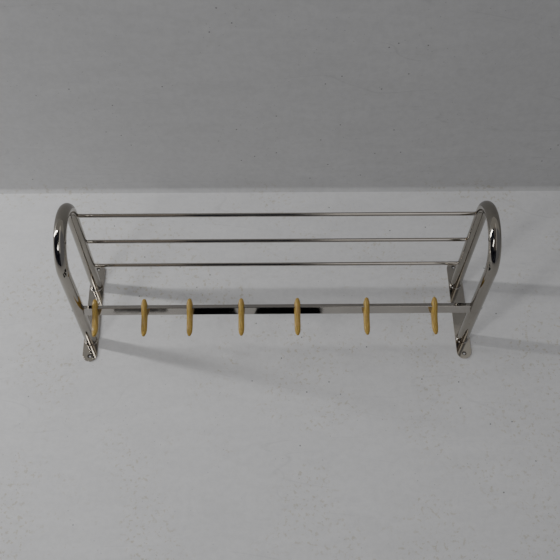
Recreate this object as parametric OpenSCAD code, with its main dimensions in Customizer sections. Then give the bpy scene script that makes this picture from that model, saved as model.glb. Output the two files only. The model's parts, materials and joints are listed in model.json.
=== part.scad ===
// Wall coat and hat rack, lying on its wall plates.
// +X runs along the hook rail, +Y points up the wall, +Z points out from the wall.
// The origin is in the wall plane, midway between the four wall screw holes.

/* [Wall plates] */
// Width of each wall plate
plate_w = 32; // [28:1:40]
// Length of each wall plate, up the wall
plate_l = 244; // [220:1:280]
// Thickness of each wall plate
plate_t = 3; // [2:0.5:5]
// Distance between the two screw holes of one plate
hole_spacing = 220; // [196:1:224]
// Diameter of each wall screw hole
hole_d = 5; // [4:0.5:6]
// Diameter of the countersink at the plate's face
sink_d = 9; // [7:0.5:11]

/* [End loops] */
// Distance between the centres of the two end loops
loop_spacing = 825; // [780:1:1200]
// Outside diameter of the loop tube
tube_d = 25; // [22:0.5:28]
// Wall thickness of the loop tube
tube_wall = 1.5; // [1:0.1:2.5]
// Distance between the centres of a loop's two legs
leg_spacing = 137.5; // [130:0.5:150]
// Place of the front leg below the screw pattern's centre
front_leg_drop = 72; // [68:0.5:78]
// Height of the straight legs above the wall, up to the bend
leg_h = 296; // [290:1:320]

/* [Shelf rods] */
// Diameter of the shelf rods
rod_d = 8; // [6:0.5:10]
// Height of the lowest shelf rod above the wall
first_rod_z = 97; // [80:1:98]
// Distance from one shelf rod to the next
rod_pitch = 98; // [80:1:98]
// Depth that each rod reaches into the loop tube
rod_seat = 9; // [4:1:11]

/* [Hook rail] */
// Wide side of the rail's section
rail_w = 20; // [18:1:22]
// Narrow side of the rail's section
rail_t = 10; // [9:0.5:11]
// Wall thickness of the rail
rail_wall = 1.2; // [1:0.1:1.5]
// Corner radius of the rail's section
rail_r = 1; // [0.8:0.1:3]
// Lean of the rail's wide side up the wall, in degrees from straight out
rail_lean = 17.6; // [10:0.1:24]
// Height of the rail's centre above the wall
rail_z = 146; // [136:1:156]
// Length of the plug inside each end of the rail
plug_l = 24; // [16:1:40]

/* [Rail screws] */
// Diameter of each rail screw
screw_d = 4; // [3:0.5:4.5]
// Diameter of each screw's head
head_d = 7.5; // [7:0.5:9]
// Height of each screw's head
head_h = 2.6; // [2:0.1:3.4]
// Width of the slot in each screw's head
slot_w = 1.2; // [0.8:0.1:1.6]

/* [Hooks] */
// Width of a hook's prongs, along the rail
prong_w = 12.8; // [10:0.1:13]
// Width of a hook's collar round the rail
collar_w = 13.4; // [13:0.1:16]
// Gap between the rail and each side of a hook's slot
slide_gap = 0.3; // [0.1:0.05:0.6]
// Place of hook 1 along the rail
hook_1_x = -378; // [-385:0.5:-340]
// Place of hook 2 along the rail
hook_2_x = -276.5; // [-300:0.5:-240]
// Place of hook 3 along the rail
hook_3_x = -182.5; // [-210:0.5:-150]
// Place of hook 4 along the rail
hook_4_x = -75.5; // [-100:0.5:-40]
// Place of hook 5 along the rail
hook_5_x = 41; // [10:0.5:70]
// Place of hook 6 along the rail
hook_6_x = 185; // [150:0.5:220]
// Place of hook 7 along the rail
hook_7_x = 326.5; // [290:0.5:360]

/* [Hidden] */
$fn = 96;

// Radius of the bend's centreline, which joins the two legs
bend_r = leg_spacing / 2;
front_leg_y = -front_leg_drop;
back_leg_y = front_leg_y + leg_spacing;
bend_y = (front_leg_y + back_leg_y) / 2;

// Clearance round parts that are joined for good
fit_gap = 0.05;
// Clearance round a rail screw where it passes through the loop tube
screw_clearance = 0.25;
// Gap between each end of the rail and the loop tube
end_gap = 0.1;
// Length of the rail along its middle, between the two loops
rail_l = loop_spacing - tube_d - 2 * end_gap;
rod_l = loop_spacing - tube_d + 2 * rod_seat;
// Corner radius inside the rail, and of the plugs that fit there
rail_inner_r = max(rail_r - rail_wall, 0.3);
// Length of thread that a rail screw has in its plug
screw_grip = 20;
screw_l = tube_d + screw_grip;
// Distance that a cut runs past the surface it opens
past = 1;

// Outline of a hook seen along the rail, [up the wall, out from the wall],
// measured from the rail's centre
low_tip_face = [-55.4, -4.5];
low_tip_nose = [-57.8, -7];
low_tip_back = [-56.2, -10.4];
face_dip = [-37, -12];
collar_face = [-12.5, 8];
face_rise = [-4, 16.5];
top_tip_face = [11.5, 18.4];
top_tip_nose = [19.4, 16.6];
top_tip_back = [19.4, 12];
saddle = [15, 7];
collar_top = [14.8, 0];
collar_bulge = [14.8, -9];
collar_back = [6.5, -17.5];
heel = [-3, -19.5];
prong_root = [-16, -17];
belly = [-40, -19.5];
curve_steps = 12;
tip_steps = 5;

// Where each prong starts to narrow to its point, measured from the rail's centre
top_taper_start = 12;
top_taper_end = 25;
low_taper_start = 47;
low_taper_end = 59.5;
point_w = 2.4;
// Directions of the two prongs from the rail's centre, in degrees from up the wall
top_prong_angle = 41;
low_prong_angle = 187;
// Sizes that only need to reach past the hook
past_hook = 100;
wide_of_hook = 20;
// Size and corner radius of the thicker collar round the rail
collar_margin = 3.6;
collar_r = 4;

// Points along a curve from a to c that is pulled towards b
function curve(a, b, c, steps) =
    [for (i = [0 : steps]) let (t = i / steps) (1 - t) ^ 2 * a + 2 * t * (1 - t) * b + t ^ 2 * c];

// Extrudes a section drawn as [up the wall, out from the wall] along the rail
module along_rail(length) {
    rotate([90, 0, 90]) linear_extrude(length, center = true) children();
}

module rounded_rect(w, h, r) {
    square([w - 2 * r, h], center = true);
    square([w, h - 2 * r], center = true);
    for (x = [-1, 1], y = [-1, 1])
        translate([x * (w / 2 - r), y * (h / 2 - r)]) circle(r);
}

module at_rail() {
    translate([0, front_leg_y, rail_z]) children();
}

// A plate with round ends and two countersunk holes, standing on the wall
module wall_plate(side) {
    color("silver") translate([side * loop_spacing / 2, 0, 0]) difference() {
        union() {
            translate([-plate_w / 2, -(plate_l - plate_w) / 2, 0]) cube([plate_w, plate_l - plate_w, plate_t]);
            for (end = [-1, 1])
                translate([0, end * (plate_l - plate_w) / 2, 0]) cylinder(d = plate_w, h = plate_t);
        }
        for (end = [-1, 1]) translate([0, end * hole_spacing / 2, 0]) {
            translate([0, 0, -past]) cylinder(d = hole_d, h = plate_t + 2 * past);
            translate([0, 0, plate_t - (sink_d - hole_d) / 2])
                cylinder(d1 = hole_d, d2 = sink_d + 2 * past, h = (sink_d - hole_d) / 2 + past);
        }
    }
}

// The solid shape of a bent loop of the given radius
module loop_shape(r, foot_z) {
    for (y = [front_leg_y, back_leg_y])
        translate([0, y, foot_z]) cylinder(r = r, h = leg_h - foot_z);
    translate([0, bend_y, leg_h]) rotate([90, 0, 90])
        rotate_extrude(angle = 180) translate([bend_r, 0]) circle(r);
}

// A bent tube, with sockets for the shelf rods and a hole for the rail screw
module end_loop(side) {
    color("gainsboro") translate([side * loop_spacing / 2, 0, 0]) difference() {
        loop_shape(tube_d / 2, plate_t);
        loop_shape(tube_d / 2 - tube_wall, plate_t - past);
        for (i = [0 : 2]) translate([0, back_leg_y, first_rod_z + i * rod_pitch])
            rotate([0, -side * 90, 0]) cylinder(d = rod_d + 2 * fit_gap, h = tube_d);
        at_rail() rotate([0, 90, 0])
            cylinder(d = screw_d + 2 * screw_clearance, h = tube_d + 2 * past, center = true);
    }
}

module shelf_rod(index) {
    color("lightgray") translate([0, back_leg_y, first_rod_z + index * rod_pitch])
        rotate([0, 90, 0]) cylinder(d = rod_d, h = rod_l, center = true);
}

// A flat-sided tube, with its ends cut to fit round the loops' front legs
module hook_rail() {
    color("silver") at_rail() difference() {
        along_rail(loop_spacing) rotate(-rail_lean) difference() {
            rounded_rect(rail_t, rail_w, rail_r);
            rounded_rect(rail_t - 2 * rail_wall, rail_w - 2 * rail_wall, rail_inner_r);
        }
        for (side = [-1, 1]) translate([side * loop_spacing / 2, 0, 0])
            cylinder(r = tube_d / 2 + end_gap, h = 2 * rail_w, center = true);
    }
}

// A tapped block that closes one end of the rail and takes the rail screw
module rail_plug(side) {
    slack = rail_wall + fit_gap;
    color("dimgray") at_rail() translate([side * (rail_l - plug_l) / 2, 0, 0])
        along_rail(plug_l) rotate(-rail_lean) difference() {
            rounded_rect(rail_t - 2 * slack, rail_w - 2 * slack, rail_inner_r);
            circle(d = screw_d + 2 * fit_gap);
        }
}

// A domed, slotted screw from the outside of a loop into the rail's plug
module rail_screw(side) {
    dome_r = (head_d ^ 2 / 4 + head_h ^ 2) / (2 * head_h);
    slot_depth = head_h / 2;
    color("gray") at_rail() translate([side * (loop_spacing + tube_d) / 2, 0, 0])
        rotate([0, side * 90, 0]) {
            translate([0, 0, -screw_l]) cylinder(d = screw_d, h = screw_l + past);
            difference() {
                intersection() {
                    cylinder(d = head_d, h = head_h);
                    translate([0, 0, head_h - dome_r]) sphere(dome_r);
                }
                translate([-head_d, -slot_w / 2, head_h - slot_depth]) cube([2 * head_d, slot_w, head_h]);
            }
        }
}

// Narrows a prong to a point as it runs out at the given angle
module prong_taper(angle, start, end) {
    rotate([angle, 0, 0]) linear_extrude(2 * past_hook, center = true)
        polygon([[-wide_of_hook, -past_hook], [wide_of_hook, -past_hook], [wide_of_hook, start],
                 [collar_w / 2 + past, start], [point_w / 2, end], [-point_w / 2, end],
                 [-collar_w / 2 - past, start], [-wide_of_hook, start]]);
}

module hook_outline() {
    polygon(concat(
        curve(low_tip_back, low_tip_nose, low_tip_face, tip_steps),
        curve(low_tip_face, face_dip, collar_face, curve_steps),
        curve(collar_face, face_rise, top_tip_face, curve_steps),
        curve(top_tip_face, top_tip_nose, top_tip_back, tip_steps),
        curve(top_tip_back, saddle, collar_top, curve_steps),
        curve(collar_top, collar_bulge, collar_back, curve_steps),
        curve(collar_back, heel, prong_root, tip_steps),
        curve(prong_root, belly, low_tip_back, curve_steps)));
}

// A wooden hook with a prong above and below its collar, threaded on the rail
module hook(x) {
    slot_t = rail_t + 2 * slide_gap;
    slot_l = rail_w + 2 * slide_gap;
    color("darkgoldenrod") at_rail() translate([x, 0, 0]) difference() {
        intersection() {
            union() {
                along_rail(prong_w) hook_outline();
                along_rail(collar_w) rotate(-rail_lean)
                    rounded_rect(slot_t + 2 * collar_margin, slot_l + 2 * collar_margin, collar_r);
            }
            prong_taper(top_prong_angle, top_taper_start, top_taper_end);
            prong_taper(low_prong_angle, low_taper_start, low_taper_end);
        }
        along_rail(2 * collar_w) rotate(-rail_lean) square([slot_t, slot_l], center = true);
    }
}

end_loop(-1);  // end_loop_left
end_loop(1);  // end_loop_right
wall_plate(-1);  // wall_plate_left
wall_plate(1);  // wall_plate_right
shelf_rod(0);  // shelf_rod_low
shelf_rod(1);  // shelf_rod_middle
shelf_rod(2);  // shelf_rod_high
hook_rail();
rail_plug(-1);  // rail_plug_left
rail_plug(1);  // rail_plug_right
rail_screw(-1);  // rail_screw_left
rail_screw(1);  // rail_screw_right
hook(hook_1_x);  // hook_1
hook(hook_2_x);  // hook_2
hook(hook_3_x);  // hook_3
hook(hook_4_x);  // hook_4
hook(hook_5_x);  // hook_5
hook(hook_6_x);  // hook_6
hook(hook_7_x);  // hook_7
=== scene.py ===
"""Looks for the wall coat and hat rack: chromed loops, rods, rail and plates, and wooden hooks that slide."""
import json
import math

import bmesh
import bpy
from mathutils import Matrix, Vector


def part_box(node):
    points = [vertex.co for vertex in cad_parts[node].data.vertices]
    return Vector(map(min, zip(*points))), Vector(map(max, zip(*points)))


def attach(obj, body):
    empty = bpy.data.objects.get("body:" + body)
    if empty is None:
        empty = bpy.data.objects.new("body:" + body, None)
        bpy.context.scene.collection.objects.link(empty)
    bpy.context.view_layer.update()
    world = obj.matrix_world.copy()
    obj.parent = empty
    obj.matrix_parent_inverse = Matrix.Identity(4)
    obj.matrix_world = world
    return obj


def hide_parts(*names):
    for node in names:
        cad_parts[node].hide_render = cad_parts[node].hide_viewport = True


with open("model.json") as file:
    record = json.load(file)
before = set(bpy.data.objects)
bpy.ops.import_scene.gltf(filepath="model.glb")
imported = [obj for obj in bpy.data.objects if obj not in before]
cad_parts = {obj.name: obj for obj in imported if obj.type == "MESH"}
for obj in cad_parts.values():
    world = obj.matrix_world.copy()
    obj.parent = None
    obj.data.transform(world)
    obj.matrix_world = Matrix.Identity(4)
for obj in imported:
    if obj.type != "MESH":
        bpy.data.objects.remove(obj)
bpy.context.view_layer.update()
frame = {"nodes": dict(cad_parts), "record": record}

MM = 0.001
SIDES = ("left", "right")
HOOKS = range(1, 8)
ROD_LEVELS = ("low", "middle", "high")

# Metal colours. Loops, plates, rods and rail share one chrome plate; their tints are set apart per part as
# painted shade, the loops darkest and the plates lightest
LOOP_SHADE_TINT = (0.360, 0.337, 0.298)
PLATE_SHADE_TINT = (0.510, 0.480, 0.430)
ROD_SHADE_TINT = (0.420, 0.396, 0.362)
RAIL_SHADE_TINT = (0.450, 0.427, 0.394)
BEAD_TINT = (0.58, 0.55, 0.51)
BEAD_STAIN = (0.16, 0.115, 0.07)
PLUG_STEEL = (0.36, 0.35, 0.34)
SCREW_STEEL = (0.55, 0.54, 0.52)
PIT_COLOUR = (0.20, 0.17, 0.14)
# The darker, browner colour that the chrome goes to round given points
DARKENING_COLOUR = (0.26, 0.21, 0.16)
# Painted shade inside the plates' screw holes: its colour and its radius
HOLE_SHADE_COLOUR = (0.03, 0.025, 0.02)
HOLE_SHADE_R = 0.0052

# Wood colours
WOOD_DEEP = (0.478, 0.318, 0.058)
WOOD_PALE = (0.622, 0.440, 0.100)
WOOD_STREAK = (0.350, 0.210, 0.054)
WOOD_PORE = (0.200, 0.118, 0.034)
WOOD_BLOTCH = (0.600, 0.380, 0.170)
GRAIN_TURN = math.radians(-27)

# Beads of braze at the legs' feet and the rods' ends
FOOT_REACH = 1.7 * MM
ROD_REACH = 1.3 * MM

# Stage
FLOOR_REACH = 5.0
BACK_Y = 0.337
FOLD_R = 0.010
FOLD_STEPS = 6
BACKDROP_H = 0.78
BACKDROP_SHADE = 0.74
REFLECTION_CARD_Z = 0.002
# Dark cards, seen only in reflections as a painted reflection of the dark room in front: left, right, front
# and back edge, and tone
REFLECTION_CARDS = (
    (-0.215, -0.095, -0.62, -0.29, 0.006),
    (-0.050, 0.105, -0.62, -0.29, 0.006),
    (-0.400, -0.265, -0.62, -0.358, 0.100),
)

# Camera, fitted to the photograph
LENS_MM = 56.97
SENSOR_MM = 36
CAMERA_AT = (-0.01817, -0.92923, 1.78093)
CAMERA_PITCH = math.radians(60.441)
CAMERA_YAW = math.radians(1.479)
CAMERA_ROLL = math.radians(0.91)

# Outline of a hook seen along the rail, (up the wall, out from the wall) in mm from the rail's centre
LOW_TIP_FACE = (-55.4, -4.5)
LOW_TIP_NOSE = (-57.8, -7)
LOW_TIP_BACK = (-56.2, -10.4)
FACE_DIP = (-37, -12)
COLLAR_FACE = (-12.5, 8)
FACE_RISE = (-4, 16.5)
TOP_TIP_FACE = (11.5, 18.4)
TOP_TIP_NOSE = (19.4, 16.6)
TOP_TIP_BACK = (19.4, 12)
SADDLE = (15, 7)
COLLAR_TOP = (14.8, 0)
COLLAR_BULGE = (14.8, -9)
COLLAR_BACK = (6.5, -17.5)
HEEL = (-3, -19.5)
PRONG_ROOT = (-16, -17)
BELLY = (-40, -19.5)
RAIL_LEAN = math.radians(17.6)
SLOT_T = 10.6
SLOT_W = 20.6

# The face and the back of a hook from its low nose to its top nose: curve points, first t and last t
FACE_CURVES = (
    (LOW_TIP_BACK, LOW_TIP_NOSE, LOW_TIP_FACE, 0.5, 1.0),
    (LOW_TIP_FACE, FACE_DIP, COLLAR_FACE, 0.0, 1.0),
    (COLLAR_FACE, FACE_RISE, TOP_TIP_FACE, 0.0, 1.0),
    (TOP_TIP_FACE, TOP_TIP_NOSE, TOP_TIP_BACK, 0.0, 0.5),
)
BACK_CURVES = (
    (LOW_TIP_BACK, LOW_TIP_NOSE, LOW_TIP_FACE, 0.5, 0.0),
    (PRONG_ROOT, BELLY, LOW_TIP_BACK, 1.0, 0.0),
    (COLLAR_BACK, HEEL, PRONG_ROOT, 1.0, 0.0),
    (COLLAR_TOP, COLLAR_BULGE, COLLAR_BACK, 1.0, 0.0),
    (TOP_TIP_BACK, SADDLE, COLLAR_TOP, 1.0, 0.0),
    (TOP_TIP_FACE, TOP_TIP_NOSE, TOP_TIP_BACK, 1.0, 0.5),
)
# Sections of a hook: place on the face, place on the back, half width in mm, squareness
RUNGS = (
    (0.15, 0.15, 0.9, 1.8),
    (1.00, 0.95, 2.5, 1.9),
    (1.10, 1.07, 3.9, 2.0),
    (1.22, 1.20, 5.4, 2.2),
    (1.40, 1.36, 6.2, 2.3),
    (1.60, 1.55, 6.4, 2.4),
    (1.80, 2.00, 6.4, 2.5),
    (1.95, 2.50, 6.5, 2.6),
    (2.10, 3.00, 6.6, 2.7),
    (2.35, 3.50, 6.6, 2.7),
    (2.60, 4.00, 6.5, 2.5),
    (2.80, 4.40, 5.9, 2.3),
    (3.00, 4.80, 4.4, 2.1),
    (3.25, 5.30, 2.6, 1.9),
    (3.85, 5.85, 0.9, 1.8),
)


# ---------------------------------------------------------------- node helpers

class Nodes:
    """A short way to write a node tree."""

    def __init__(self, tree):
        self.tree = tree
        tree.nodes.clear()

    def add(self, kind, inputs=None, **settings):
        n = self.tree.nodes.new(kind)
        for k, v in settings.items():
            setattr(n, k, v)
        for k, v in (inputs or {}).items():
            self.put(n.inputs[k], v)
        return n

    def put(self, socket, v):
        if isinstance(v, bpy.types.NodeSocket):
            self.tree.links.new(v, socket)
        else:
            socket.default_value = v

    def math(self, op, a, b=0.0, c=0.0):
        n = self.add("ShaderNodeMath", {0: a, 1: b, 2: c}, operation=op)
        return n.outputs[0]

    def vec(self, op, a, b):
        n = self.add("ShaderNodeVectorMath", {0: a, 1: b}, operation=op)
        return n.outputs[1] if op == "DISTANCE" else n.outputs[0]

    def scale(self, a, factors):
        return self.vec("MULTIPLY", a, factors)

    def noise(self, coords, scale, detail=3.0, rough=0.55, distort=0.0):
        n = self.add("ShaderNodeTexNoise", {
            "Vector": coords, "Scale": scale, "Detail": detail, "Roughness": rough, "Distortion": distort})
        return n.outputs[0]

    def ramp(self, v, low, high, out_low=0.0, out_high=1.0, smooth=True):
        n = self.add("ShaderNodeMapRange", {0: v, 1: low, 2: high, 3: out_low, 4: out_high})
        n.interpolation_type = "SMOOTHSTEP" if smooth else "LINEAR"
        return n.outputs[0]

    def mix(self, fac, a, b, blend="MIX"):
        n = self.add("ShaderNodeMix", data_type="RGBA", blend_type=blend)
        self.put(n.inputs[0], fac)
        self.put(n.inputs[6], rgba(a))
        self.put(n.inputs[7], rgba(b))
        return n.outputs[2]

    def bump(self, height, strength, distance, normal=None):
        n = self.add("ShaderNodeBump", {"Height": height, "Strength": strength, "Distance": distance})
        if normal is not None:
            self.put(n.inputs["Normal"], normal)
        return n.outputs[0]

    def rounded_edges(self, radius):
        return self.add("ShaderNodeBevel", {"Radius": radius}, samples=6).outputs[0]

    def output(self, shader, kind="ShaderNodeOutputMaterial"):
        self.add(kind, {"Surface": shader})


def rgba(c):
    """A grey or a colour with the opaque fourth value; a socket stays as it is."""
    if isinstance(c, (int, float)):
        return (c, c, c, 1.0)
    if isinstance(c, tuple) and len(c) == 3:
        return (*c, 1.0)
    return c


def material(name):
    m = bpy.data.materials.new(name)
    m.use_nodes = True
    return m, Nodes(m.node_tree)


def dress(obj, mat):
    """Puts one material on every face of an object."""
    obj.data.materials.clear()
    obj.data.materials.append(mat)


# ---------------------------------------------------------------- materials

def chrome(name, tint, rough, along, marks=0.0, darken_at=None, shaded_holes=None, edge=0.0006):
    """Polished chrome plate with smudges, hairline scratches along a direction and a little pitting.
    marks adds rubbing marks. darken_at is (point, radius) pairs round which the plate is darker and duller,
    and shaded_holes is (point, radius) pairs of holes, painted near black inside as shade."""
    m, n = material(name)
    place = n.add("ShaderNodeTexCoord").outputs["Object"]
    stretch = tuple(1.0 if a else 26.0 for a in along)
    hairlines = n.noise(n.scale(place, stretch), 60.0, 4.0, 0.7)
    hair = n.ramp(hairlines, 0.60, 0.74)
    smudge = n.ramp(n.noise(place, 22.0, 4.0, 0.6, 0.6), 0.46, 0.74)
    cloud = n.noise(place, 7.0, 3.0, 0.5)
    pits = n.ramp(n.noise(place, 900.0, 2.0, 0.5), 0.74, 0.80)
    dull = n.math("MULTIPLY", smudge, 0.06)
    dull = n.math("MULTIPLY_ADD", hair, 0.05, dull)
    dull = n.math("MULTIPLY_ADD", pits, 0.18, dull)
    if marks:
        rub = n.ramp(n.noise(n.scale(place, (1.5, 60.0, 60.0)), 9.0, 5.0, 0.7), 0.55, 0.72)
        dull = n.math("MULTIPLY_ADD", rub, marks, dull)
    darkening = 0.0
    # Round each given point the plate goes darker, browner and duller, in ragged patches.
    for point, radius in darken_at or ():
        near = n.ramp(n.vec("DISTANCE", place, tuple(point)), radius, radius * 0.45)
        ragged = n.math("MULTIPLY", near, n.ramp(n.noise(place, 260.0, 4.0, 0.7), 0.30, 0.68))
        darkening = n.math("MAXIMUM", ragged, darkening)
    rough_all = n.math("ADD", dull, rough)
    if darken_at:
        rough_all = n.math("MULTIPLY_ADD", darkening, 0.12, rough_all)
    light = tuple(c * 1.05 for c in tint)
    dark = tuple(c * 0.93 for c in tint)
    colour = n.mix(n.ramp(cloud, 0.35, 0.65), dark, light)
    colour = n.mix(n.math("MULTIPLY", pits, 0.35), colour, PIT_COLOUR)
    if darken_at:
        colour = n.mix(n.math("MULTIPLY", darkening, 0.55), colour, DARKENING_COLOUR)
    # Painted shade: each screw hole is coloured near black inside, standing in for the shade in the hole.
    for point, radius in shaded_holes or ():
        inside = n.ramp(n.vec("DISTANCE", place, tuple(point)), radius, radius * 0.8)
        colour = n.mix(n.math("MULTIPLY", inside, 0.8), colour, HOLE_SHADE_COLOUR)
        rough_all = n.math("MULTIPLY_ADD", inside, 0.35, rough_all)
    ripple = n.noise(place, 40.0, 2.0, 0.5)
    normal = n.rounded_edges(edge)
    normal = n.bump(ripple, 0.08, 0.0006, normal)
    normal = n.bump(hairlines, 0.05, 0.00015, normal)
    bsdf = n.add("ShaderNodeBsdfPrincipled", {
        "Base Color": colour, "Metallic": 1.0, "Roughness": rough_all, "Normal": normal})
    n.output(bsdf.outputs[0])
    return m


def braze(name, tint):
    """Chromed-over braze metal: lumpy, a little duller and warmer than the tube."""
    m, n = material(name)
    place = n.add("ShaderNodeTexCoord").outputs["Object"]
    lumps = n.noise(place, 420.0, 3.0, 0.6)
    stain = n.ramp(n.noise(place, 150.0, 3.0, 0.6), 0.42, 0.66)
    colour = n.mix(stain, tint, BEAD_STAIN)
    rough = n.ramp(lumps, 0.3, 0.7, 0.14, 0.34)
    normal = n.bump(lumps, 0.16, 0.0003)
    bsdf = n.add("ShaderNodeBsdfPrincipled", {
        "Base Color": colour, "Metallic": 1.0, "Roughness": rough, "Normal": normal})
    n.output(bsdf.outputs[0])
    return m


def dull_steel(name, colour, rough):
    """Turned steel with fine tool marks and a few rust freckles."""
    m, n = material(name)
    place = n.add("ShaderNodeTexCoord").outputs["Object"]
    rings = n.noise(n.scale(place, (900.0, 40.0, 40.0)), 1.0, 3.0, 0.6)
    rust = n.ramp(n.noise(place, 700.0, 3.0, 0.6), 0.66, 0.74)
    tone = n.mix(rings, tuple(c * 0.8 for c in colour), tuple(c * 1.1 for c in colour))
    tone = n.mix(n.math("MULTIPLY", rust, 0.6), tone, (0.16, 0.08, 0.04))
    roughness = n.math("MULTIPLY_ADD", rings, 0.2, rough)
    bsdf = n.add("ShaderNodeBsdfPrincipled", {
        "Base Color": tone, "Metallic": 1.0, "Roughness": roughness, "Normal": n.bump(rings, 0.2, 0.0001)})
    n.output(bsdf.outputs[0])
    return m


def wood(name, shift):
    """Honey-coloured varnished hardwood with its grain along the hook."""
    m, n = material(name)
    place = n.add("ShaderNodeTexCoord").outputs["Object"]
    turned = n.add("ShaderNodeMapping", {
        "Vector": place, "Location": shift, "Rotation": (GRAIN_TURN, 0, 0)}).outputs[0]
    waver = n.noise(n.scale(turned, (60.0, 14.0, 60.0)), 1.0, 3.0, 0.5)
    bent = n.vec("ADD", n.scale(turned, (1.0, 0.10, 1.0)), n.scale(n.add(
        "ShaderNodeCombineXYZ", {0: waver, 1: 0.0, 2: waver}).outputs[0], (0.004, 0.0, 0.004)))
    rings = n.add("ShaderNodeTexWave", {
        "Vector": bent, "Scale": 95.0, "Distortion": 2.2, "Detail": 3.0, "Detail Scale": 1.6},
        wave_type="RINGS", rings_direction="Y").outputs[1]
    streak = n.noise(n.scale(turned, (700.0, 26.0, 700.0)), 1.0, 4.0, 0.65)
    pores = n.ramp(n.noise(n.scale(turned, (1800.0, 70.0, 1800.0)), 1.0, 2.0, 0.5), 0.60, 0.70)
    colour = n.mix(n.ramp(rings, 0.15, 0.85), WOOD_DEEP, WOOD_PALE)
    colour = n.mix(n.ramp(streak, 0.38, 0.62, 0.0, 0.80), colour, WOOD_STREAK)
    colour = n.mix(n.math("MULTIPLY", pores, 0.5), colour, WOOD_PORE)
    blotch = n.ramp(n.noise(turned, 55.0, 2.0, 0.5), 0.52, 0.70, 0.0, 0.35)
    colour = n.mix(blotch, colour, WOOD_BLOTCH)
    height = n.math("MULTIPLY_ADD", pores, -0.6, streak)
    normal = n.bump(height, 0.25, 0.0002)
    rough = n.ramp(streak, 0.3, 0.7, 0.36, 0.50)
    bsdf = n.add("ShaderNodeBsdfPrincipled", {
        "Base Color": colour, "Roughness": rough, "Normal": normal, "Coat Weight": 0.22,
        "Coat Roughness": 0.22, "Coat Tint": (1.0, 0.93, 0.78, 1.0)})
    n.output(bsdf.outputs[0])
    return m


def paper_specks(n, tone, where, parts):
    """The tone with dark specks of two sizes, laid out flat so that they don't streak on the fold."""
    flat = n.add("ShaderNodeCombineXYZ", {
        0: parts.outputs[0], 1: n.math("ADD", parts.outputs[1], parts.outputs[2])}).outputs[0]
    for size, level, depth in ((11.0, 0.022, 0.75), (31.0, 0.040, 0.34)):
        cells = n.add("ShaderNodeTexVoronoi", {"Vector": flat, "Scale": size, "Randomness": 1.0},
                      voronoi_dimensions="2D")
        chosen = n.ramp(n.noise(where, size * 0.31, 2.0, 0.5), 0.52, 0.56)
        speck = n.math("MULTIPLY", n.ramp(cells.outputs["Distance"], level, level * 0.5), chosen)
        tone = n.math("MULTIPLY", tone, n.math("MULTIPLY_ADD", speck, -depth, 1.0))
    return tone


def paper_scratches(n, tone, where):
    """The tone with two sets of faint broken lines."""
    for stretch, size, width in (((0.30, 2.6, 2.6), 2.1, 0.0030), ((0.45, 1.5, 1.5), 3.3, 0.0026)):
        line = n.math("ABSOLUTE", n.math("SUBTRACT", n.noise(n.scale(where, stretch), size, 1.5, 0.4), 0.5))
        gaps = n.ramp(n.noise(where, 11.0, 3.0, 0.6), 0.44, 0.56)
        mark = n.math("MULTIPLY", n.ramp(line, width, 0.0), gaps)
        tone = n.math("MULTIPLY", tone, n.math("MULTIPLY_ADD", mark, -0.075, 1.0))
    return tone


def paper_dirt(n, where, parts):
    """Warm crumbs of dirt in patches, nearly all of them down on the floor."""
    patches = n.ramp(n.noise(where, 4.6, 4.0, 0.7, 0.5), 0.46, 0.58)
    crumbs = n.ramp(n.noise(where, 105.0, 3.0, 0.65), 0.55, 0.64)
    low = n.ramp(parts.outputs[2], 0.0, 0.05, 1.0, 0.10)
    dirt = n.math("MULTIPLY", n.math("MULTIPLY", patches, crumbs), low)
    return n.mix(dirt, (1.0, 1.0, 1.005), (0.84, 0.810, 0.730))


def paper(name, shade=1.0, one_sided=False):
    """Pale photographic paper, a little scuffed. One-sided paper can't be seen from behind."""
    m, n = material(name)
    place = n.add("ShaderNodeNewGeometry")
    where = place.outputs["Position"]
    cloud = n.noise(where, 1.6, 4.0, 0.55)
    scuff = n.noise(n.scale(where, (1.0, 3.0, 3.0)), 9.0, 5.0, 0.65, 0.8)
    fibre = n.noise(where, 420.0, 2.0, 0.5)
    tone = n.ramp(cloud, 0.3, 0.7, 0.80 * shade, 0.85 * shade, smooth=False)
    tone = n.math("MULTIPLY", tone, n.ramp(scuff, 0.30, 0.72, 0.965, 1.02))
    tone = n.math("MULTIPLY", tone, n.ramp(fibre, 0.3, 0.7, 0.985, 1.01, smooth=False))
    parts = n.add("ShaderNodeSeparateXYZ", {0: where})
    tone = paper_specks(n, tone, where, parts)
    tone = paper_scratches(n, tone, where)
    grain = n.ramp(n.noise(where, 75.0, 4.0, 0.7), 0.35, 0.70, 1.015, 0.955)
    tone = n.math("MULTIPLY", tone, grain)
    tint = paper_dirt(n, where, parts)
    grey = n.add("ShaderNodeCombineColor", {0: tone, 1: tone, 2: tone}).outputs[0]
    colour = n.mix(1.0, grey, tint, blend="MULTIPLY")
    bsdf = n.add("ShaderNodeBsdfPrincipled", {
        "Base Color": colour, "Roughness": 0.62, "Specular IOR Level": 0.25,
        "Normal": n.bump(fibre, 0.12, 0.0004)})
    shader = bsdf.outputs[0]
    if one_sided:
        clear = n.add("ShaderNodeBsdfTransparent").outputs[0]
        shader = n.add("ShaderNodeMixShader", {
            0: place.outputs["Backfacing"], 1: shader, 2: clear}).outputs[0]
    n.output(shader)
    return m


def reflection_card(name, tone):
    """Matt dark card for the painted reflections, slightly uneven."""
    m, n = material(name)
    place = n.add("ShaderNodeNewGeometry").outputs["Position"]
    shade = n.ramp(n.noise(place, 30.0), 0.3, 0.7, tone * 0.7, tone * 1.3)
    bsdf = n.add("ShaderNodeBsdfPrincipled", {
        "Base Color": n.mix(shade, 0.0, 1.0), "Roughness": 0.9, "Specular IOR Level": 0.0})
    n.output(bsdf.outputs[0])
    return m


# ---------------------------------------------------------------- meshes

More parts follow.
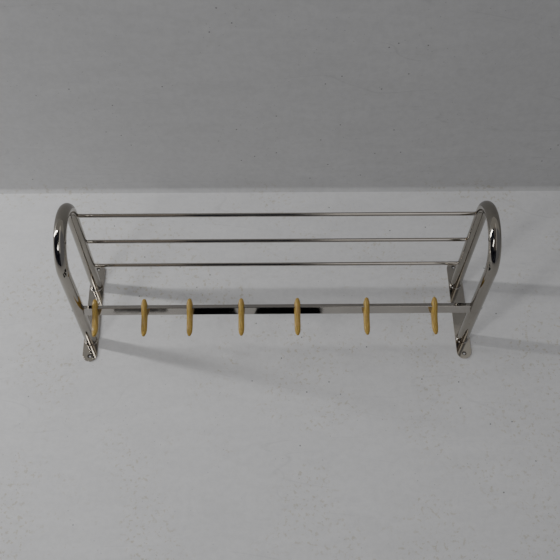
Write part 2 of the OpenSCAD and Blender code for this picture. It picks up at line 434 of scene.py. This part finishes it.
def mesh_object(name, verts, faces, smooth=True):
    mesh = bpy.data.meshes.new(name)
    mesh.from_pydata([tuple(v) for v in verts], [], faces)
    mesh.polygons.foreach_set("use_smooth", [smooth] * len(mesh.polygons))
    mesh.validate()
    mesh.update()
    obj = bpy.data.objects.new(name, mesh)
    bpy.context.scene.collection.objects.link(obj)
    return obj


def ring_of(name, profile_at, steps):
    """A closed ring: profile_at(angle) gives the same number of points each time, round a closed section."""
    verts = []
    for i in range(steps):
        verts += profile_at(2 * math.pi * i / steps)
    count = len(verts) // steps
    faces = []
    for i in range(steps):
        for j in range(count):
            a, b = i * count, (i + 1) % steps * count
            k = (j + 1) % count
            faces.append((a + j, a + k, b + k, b + j))
    obj = mesh_object(name, verts, faces)
    fix_normals(obj)
    return obj


def fix_normals(obj):
    bm = bmesh.new()
    bm.from_mesh(obj.data)
    bmesh.ops.recalc_face_normals(bm, faces=bm.faces)
    bm.to_mesh(obj.data)
    bm.free()


def bend(a, b, c, t):
    """The point at t on the curve from a to c that is pulled towards b."""
    return tuple((1 - t) ** 2 * a[i] + 2 * t * (1 - t) * b[i] + t * t * c[i] for i in (0, 1))


def along(curves, s):
    """The point at s on a chain of curves; its whole part names the curve."""
    i = min(int(s), len(curves) - 1)
    a, b, c, first, last = curves[i]
    return bend(a, b, c, first + (last - first) * (s - i))


def power(v, p):
    return math.copysign(abs(v) ** p, v)


def hook_ring(rung, count):
    """One section of a hook, across the chord from its face to its back."""
    face_s, back_s, half_width, square = rung
    f, b = along(FACE_CURVES, face_s), along(BACK_CURVES, back_s)
    ring = []
    for i in range(count):
        angle = 2 * math.pi * i / count
        x = half_width * power(math.cos(angle), 2 / square)
        d = 0.5 + 0.5 * power(math.sin(angle), 2 / square)
        y, z = (b[k] + (f[k] - b[k]) * d for k in (0, 1))
        ring.append(Vector((x, y, z)) * MM)
    return ring


def hook_rungs(steps):
    for a, b in zip(RUNGS, RUNGS[1:]):
        for i in range(steps):
            yield tuple(p + (q - p) * i / steps for p, q in zip(a, b))
    yield RUNGS[-1]


def hook_body(count=36, steps=6):
    """The carved shape of a hook without its slot, closed at both noses."""
    rings = [hook_ring(r, count) for r in hook_rungs(steps)]
    verts = [v for ring in rings for v in ring]
    faces = []
    for r in range(len(rings) - 1):
        for i in range(count):
            j = (i + 1) % count
            a, b = r * count, (r + 1) * count
            faces.append((a + i, a + j, b + j, b + i))
    for ring, start, nose in ((rings[0], 0, along(FACE_CURVES, 0)),
                              (rings[-1], len(verts) - count, along(FACE_CURVES, len(FACE_CURVES)))):
        tip = len(verts)
        verts.append(Vector((0, nose[0], nose[1])) * MM)
        for i in range(count):
            faces.append((start + i, start + (i + 1) % count, tip))
    obj = mesh_object("hook_shape", verts, faces)
    fix_normals(obj)
    return obj


def slot_cutter():
    """The block that cuts a hook's slot, square to the leaning rail."""
    bm = bmesh.new()
    bmesh.ops.create_cube(bm, size=1.0)
    size = Matrix.Diagonal((40 * MM, SLOT_T * MM, SLOT_W * MM, 1))
    bm.transform(Matrix.Rotation(-RAIL_LEAN, 4, "X") @ size)
    mesh = bpy.data.meshes.new("slot_cutter")
    bm.to_mesh(mesh)
    bm.free()
    obj = bpy.data.objects.new("slot_cutter", mesh)
    bpy.context.scene.collection.objects.link(obj)
    return obj


def cut(obj, cutter):
    """The object's mesh with the cutter's shape taken away."""
    mod = obj.modifiers.new("slot", "BOOLEAN")
    mod.object, mod.operation, mod.solver = cutter, "DIFFERENCE", "EXACT"
    ready = obj.evaluated_get(bpy.context.evaluated_depsgraph_get())
    mesh = bpy.data.meshes.new_from_object(ready)
    for o in (obj, cutter):
        bpy.data.objects.remove(o)
    mesh.polygons.foreach_set("use_smooth", [True] * len(mesh.polygons))
    mesh.set_sharp_from_angle(angle=math.radians(38))
    return mesh


# ---------------------------------------------------------------- pieces

def centre(node):
    lo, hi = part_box(node)
    return (lo + hi) / 2


def make_hooks():
    shape = cut(hook_body(), slot_cutter())
    rail = centre("hook_rail")
    for i in HOOKS:
        node = "hook_%d" % i
        mesh = shape.copy()
        mesh.name = node + "_carved"
        obj = bpy.data.objects.new(node + "_carved", mesh)
        bpy.context.scene.collection.objects.link(obj)
        obj.location = (centre(node).x, rail.y, rail.z)
        dress(obj, wood("hook_wood_%d" % i, (0.037 * i, 0.11 * i, -0.023 * i)))
        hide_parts(node)
        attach(obj, node + "_body")


def leg_places(side):
    """The tube's radius and the two legs' centres on one side, at the plate's face."""
    lo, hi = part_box("end_loop_" + side)
    r = (hi.x - lo.x) / 2
    x = (lo.x + hi.x) / 2
    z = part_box("wall_plate_" + side)[1].z
    return r, (Vector((x, lo.y + r, z)), Vector((x, hi.y - r, z)))


def wobble(angle, seed, amount):
    """A small uneven factor round a hand-made joint."""
    return 1 + amount * (math.sin(3 * angle + seed) + 0.6 * math.sin(7 * angle + 2.3 * seed))


def foot_bead(name, foot, r, seed):
    """The fillet of braze where a leg stands on its plate."""
    def section(angle):
        reach = FOOT_REACH * wobble(angle, seed, 0.05)
        points = []
        for k in range(7):
            a = math.pi / 2 * k / 6
            points.append((r + reach * (1 - math.sin(a)), reach * (1 - math.cos(a))))
        points += [(r - 0.3 * MM, reach), (r - 0.3 * MM, -0.1 * MM), (r + reach, -0.1 * MM)]
        return [foot + Vector((p * math.cos(angle), p * math.sin(angle), h)) for p, h in points]
    return ring_of(name, section, 72)


def rod_bead(name, leg_x, leg_r, rod, rod_r, inward, seed):
    """The small ring of solder where a rod enters a leg. inward is +1 or -1, away from the leg along X."""
    def section(angle):
        reach = ROD_REACH * wobble(angle, seed, 0.12)
        points = []
        for k in range(5):
            a = math.pi / 2 * k / 4
            points.append((rod_r + reach * (1 - math.sin(a)), reach * (1 - math.cos(a))))
        points += [(rod_r - 0.1 * MM, reach), (rod_r - 0.1 * MM, -0.2 * MM), (rod_r + reach, -0.2 * MM)]
        out = []
        for p, h in points:
            y, z = p * math.sin(angle), p * math.cos(angle)
            x = math.sqrt(leg_r ** 2 - y ** 2) + h
            out.append(Vector((leg_x + inward * x, rod.y + y, rod.z + z)))
        return out
    return ring_of(name, section, 48)


def make_beads():
    mat = braze("bead_chrome", BEAD_TINT)
    beads = []
    for s, side in enumerate(SIDES):
        r, feet = leg_places(side)
        for f, foot in enumerate(feet):
            beads.append(foot_bead("foot_bead_%s_%d" % (side, f + 1), foot, r, 1.7 * s + 3.1 * f))
        for k, level in enumerate(ROD_LEVELS):
            node = "shelf_rod_" + level
            lo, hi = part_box(node)
            name = "rod_bead_%s_%s" % (side, level)
            inward = 1 if side == "left" else -1
            beads.append(rod_bead(name, feet[0].x, r, centre(node), (hi.z - lo.z) / 2, inward, 2.1 * k + s))
    for b in beads:
        dress(b, mat)
        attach(b, "rack")


def screw_holes(side):
    """The centres of a plate's two screw holes, from the record's wall screw pattern."""
    pattern = next(m for m in frame["record"]["mounts"] if m["name"] == "wall_screws")
    reach = pattern["dims"]["spacing_y_mm"] * MM / 2
    plate = centre("wall_plate_" + side)
    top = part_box("wall_plate_" + side)[1].z
    return [Vector((plate.x, y, top)) for y in (-reach, reach)]


# The rack's chrome: each part's tint carries painted shade.
def dress_rack():
    nodes = frame["nodes"]
    for side in SIDES:
        r, feet = leg_places(side)
        rail = centre("hook_rail")
        joint = Vector((feet[0].x, feet[0].y, rail.z))
        # The loop goes darker round its feet and where the rail meets it; the plate goes darker round the
        # feet.
        dark_spots = [(foot, r * 1.7) for foot in feet] + [(joint, r * 1.3)]
        dress(nodes["end_loop_" + side], chrome(
            "loop_chrome_" + side, LOOP_SHADE_TINT, 0.045, (0, 0, 1), darken_at=dark_spots, edge=0.0004))
        dark_feet = [(foot, r * 1.6) for foot in feet]
        # The screw holes, painted near black inside as shade
        shaded_holes = [(h, HOLE_SHADE_R) for h in screw_holes(side)]
        dress(nodes["wall_plate_" + side], chrome(
            "plate_chrome_" + side, PLATE_SHADE_TINT, 0.075, (0, 1, 0), marks=0.06, darken_at=dark_feet,
            shaded_holes=shaded_holes, edge=0.0008))
        dress(nodes["rail_plug_" + side], dull_steel("plug_steel_" + side, PLUG_STEEL, 0.35))
        dress(nodes["rail_screw_" + side], dull_steel("screw_steel_" + side, SCREW_STEEL, 0.16))
    for level in ROD_LEVELS:
        dress(nodes["shelf_rod_" + level], chrome(
            "rod_chrome_" + level, ROD_SHADE_TINT, 0.05, (1, 0, 0), marks=0.03, edge=0.0004))
    dress(nodes["hook_rail"], chrome(
        "rail_chrome", RAIL_SHADE_TINT, 0.045, (1, 0, 0), marks=0.07, edge=0.0005))


# ---------------------------------------------------------------- stage, light and camera

def quad(name, corners, mat):
    obj = mesh_object(name, corners, [(0, 1, 2, 3)], smooth=False)
    dress(obj, mat)
    return obj


def make_stage():
    far = FLOOR_REACH
    quad("floor", [(-far, -far, 0), (far, -far, 0), (far, far, 0), (-far, far, 0)], paper("floor_paper"))
    rows = []
    for i in range(FOLD_STEPS + 1):
        a = math.pi / 2 * i / FOLD_STEPS
        rows.append((BACK_Y - FOLD_R + FOLD_R * math.sin(a), FOLD_R - FOLD_R * math.cos(a) + 0.0002))
    rows.append((BACK_Y, BACKDROP_H))
    verts = []
    for y, z in rows:
        verts += [(-far, y, z), (far, y, z)]
    faces = [(2 * i, 2 * i + 1, 2 * i + 3, 2 * i + 2) for i in range(len(rows) - 1)]
    sheet = mesh_object("backdrop", verts, faces)
    dress(sheet, paper("backdrop_paper", BACKDROP_SHADE, one_sided=True))
    make_reflection_cards()


def make_reflection_cards():
    """Dark sheets on the floor in front, hidden from the camera, from diffuse light and from shadows, seen
    only as the dark patches they leave in the rail: a painted reflection of the dark room in front.
    """
    z = REFLECTION_CARD_Z
    for i, (x0, x1, y0, y1, tone) in enumerate(REFLECTION_CARDS):
        near = [(x0 + 0.007 * math.sin(2.1 * k + i), y0 + (y1 - y0) * k / 9, z) for k in range(10)]
        far = [(x1 + 0.009 * math.sin(1.7 * k + 2 * i), y0 + (y1 - y0) * k / 9, z) for k in range(9, -1, -1)]
        card = mesh_object("card_%d" % (i + 1), near + far, [tuple(range(20))], smooth=False)
        dress(card, reflection_card("card_paper_%d" % (i + 1), tone))
        card.visible_camera = False
        card.visible_diffuse = False
        card.visible_shadow = False


def make_world():
    """Even room light for the paper, and a darker, patchy room for mirror reflections."""
    world = bpy.data.worlds.new("studio")
    bpy.context.scene.world = world
    world.use_nodes = True
    world.cycles.sampling_method = "NONE"
    n = Nodes(world.node_tree)
    way = n.add("ShaderNodeTexCoord").outputs["Generated"]
    parts = n.add("ShaderNodeSeparateXYZ", {0: way})
    x, y, z = parts.outputs[0], parts.outputs[1], parts.outputs[2]
    clutter = n.ramp(n.noise(way, 9.0, 3.0, 0.6), 0.50, 0.62)
    room = n.mix(clutter, (0.006, 0.006, 0.010), (0.075, 0.082, 0.110))
    room = n.mix(n.ramp(x, 0.05, 0.20), room, (0.190, 0.195, 0.215))
    grey = n.mix(n.ramp(y, 0.16, 0.06), (0.325, 0.32, 0.31), room)
    high = n.math("MULTIPLY", n.ramp(z, 0.50, 0.62), n.ramp(y, 0.38, 0.24))
    brown = n.math("MULTIPLY", n.ramp(x, -0.30, -0.26), n.ramp(x, -0.085, -0.105))
    pale = n.math("MULTIPLY", n.ramp(x, 0.030, 0.085), n.ramp(x, 0.30, 0.25))
    mirrored = n.mix(n.math("MULTIPLY", brown, high), grey, (0.300, 0.270, 0.240))
    mirrored = n.mix(n.math("MULTIPLY", pale, high), mirrored, (0.86, 0.84, 0.82))
    path = n.add("ShaderNodeLightPath")
    soft = n.mix(n.ramp(z, 0.0, 1.0, smooth=False), (0.088, 0.088, 0.090), (0.335, 0.335, 0.339))
    colour = n.mix(path.outputs["Is Glossy Ray"], soft, mirrored)
    colour = n.mix(path.outputs["Is Camera Ray"], colour, (0.36, 0.36, 0.36))
    back = n.add("ShaderNodeBackground", {"Color": colour, "Strength": 1.0})
    n.output(back.outputs[0], "ShaderNodeOutputWorld")


def lamp(name, place, aim, size, power_w):
    """A soft window: place, what it faces, width and height, and power."""
    data = bpy.data.lights.new(name, "AREA")
    data.shape = "RECTANGLE"
    data.size, data.size_y = size
    data.energy = power_w
    obj = bpy.data.objects.new(name, data)
    bpy.context.scene.collection.objects.link(obj)
    obj.location = place
    obj.rotation_mode = "QUATERNION"
    obj.rotation_quaternion = (Vector(aim) - Vector(place)).to_track_quat("-Z", "Y")
    obj.visible_camera = False
    return obj


def make_lights():
    lamp("tall_window", (-1.67, 0.233, 1.46), (0, 0.233, 1.46), (0.085, 2.10), 18.6)
    lamp("window", (-1.20, -1.30, 2.06), (0, 0, 0.1), (0.30, 1.00), 8.6)


def make_camera():
    data = bpy.data.cameras.new("camera")
    data.lens = LENS_MM
    data.sensor_width = SENSOR_MM
    data.clip_start = 0.01
    data.clip_end = 50
    cam = bpy.data.objects.new("camera", data)
    bpy.context.scene.collection.objects.link(cam)
    pitch, yaw, roll = CAMERA_PITCH, CAMERA_YAW, CAMERA_ROLL
    ahead = Vector((math.sin(yaw) * math.cos(pitch), math.cos(yaw) * math.cos(pitch), -math.sin(pitch)))
    side = ahead.cross(Vector((0, 0, 1))).normalized()
    top = side.cross(ahead)
    right = math.cos(roll) * side + math.sin(roll) * top
    up = math.cos(roll) * top - math.sin(roll) * side
    turn = Matrix((right, up, -ahead)).transposed()
    cam.matrix_world = Matrix.Translation(CAMERA_AT) @ turn.to_4x4()
    bpy.context.scene.camera = cam


make_camera()
make_stage()
make_world()
make_lights()
make_hooks()
make_beads()
dress_rack()
